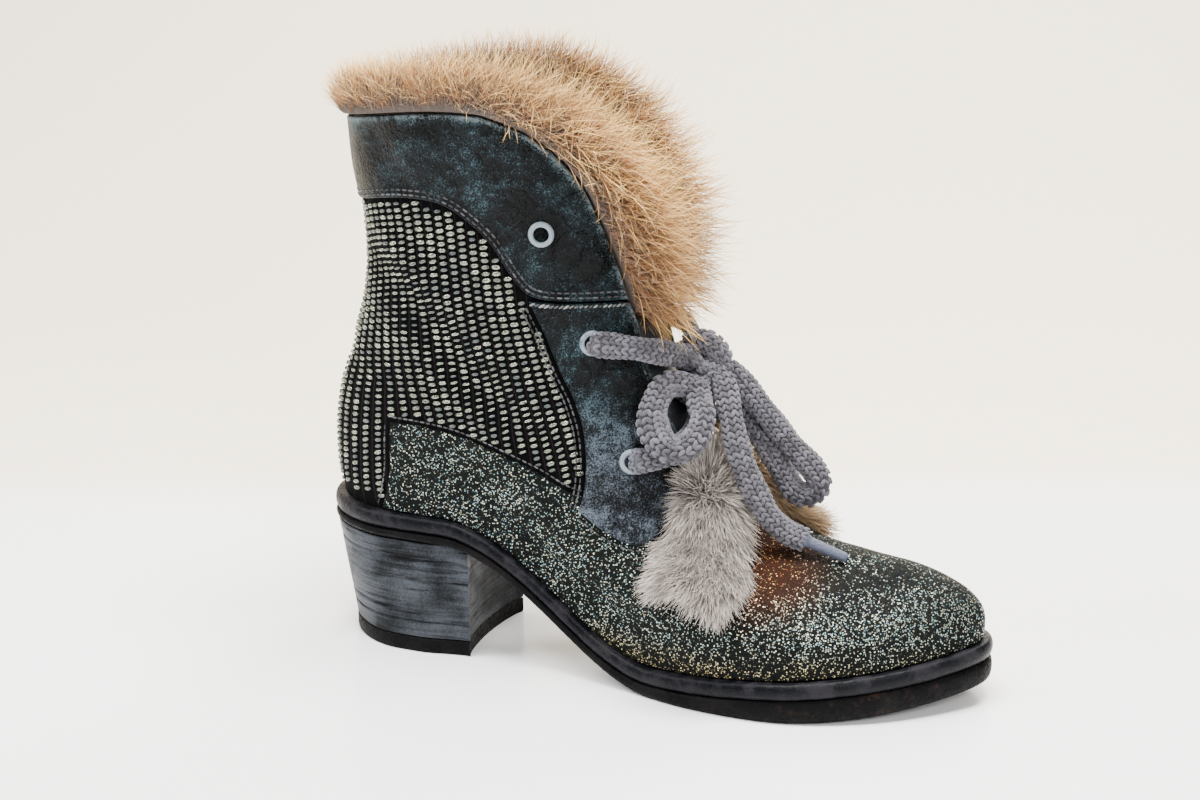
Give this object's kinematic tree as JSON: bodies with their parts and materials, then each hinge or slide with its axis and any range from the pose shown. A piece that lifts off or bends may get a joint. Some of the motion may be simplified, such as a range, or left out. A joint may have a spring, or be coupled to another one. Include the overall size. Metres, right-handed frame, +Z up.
{
  "type": "ankle boot",
  "caption": "Right ankle boot with a block heel, welted sole, ribbed textile quarters, crackled leather collar and lace facings, a front bow and a fur trim.",
  "frame": {"origin": "on the floor, under the middle of the heel", "axes": "+X from heel to toe, +Y to the inner (medial) side, +Z up"},
  "size_m": [0.262, 0.097, 0.2345],
  "materials": {
    "sole_rubber": "dark, satin, scuffed brown at the toe",
    "welt_leather": "dark blue-black, waxed edge with a groove",
    "heel_stack": "stacked layers, blue-black, rubbed",
    "insole_leather": "matt",
    "tongue_lining": "matt, dark",
    "upper_leather": "black with fine metallic flecks, semi-gloss",
    "crackled_leather": "dark teal, crackled, pale rubs",
    "eyelet_metal": "pale metal, worn",
    "fur": "tan fur, brown-grey at the roots",
    "pale_fur": "grey-beige fur",
    "lace_knit": "soft grey-violet knit",
    "lace_binding": "bound tip, blue-grey"
  },
  "bodies": {
    "root": {"outsole": "sole_rubber", "top_lift": "sole_rubber", "welt": "welt_leather", "heel": "heel_stack", "insole": "insole_leather", "tongue": "tongue_lining", "upper": "upper_leather", "collar_yoke": "crackled_leather", "lace_facing_lateral": "crackled_leather", "lace_facing_medial": "crackled_leather", "fur_collar": "fur", "fur_flap_lateral": "pale_fur", "fur_flap_medial": "fur", "lace_crossing": "lace_knit", "lace_bar_lateral": "lace_knit", "lace_bar_medial": "lace_knit", "lace_knot": "lace_knit", "lace_loop_lateral": "lace_knit", "lace_loop_medial": "lace_knit", "lace_end_lateral": "lace_knit", "lace_end_medial": "lace_knit", "lace_tip_lateral": "lace_binding", "lace_tip_medial": "lace_binding", "eyelet_top_lateral": "eyelet_metal", "eyelet_top_medial": "eyelet_metal", "eyelet_middle_lateral": "eyelet_metal", "eyelet_middle_medial": "eyelet_metal", "eyelet_lower_lateral": "eyelet_metal", "eyelet_lower_medial": "eyelet_metal"}
  },
  "joints": []
}
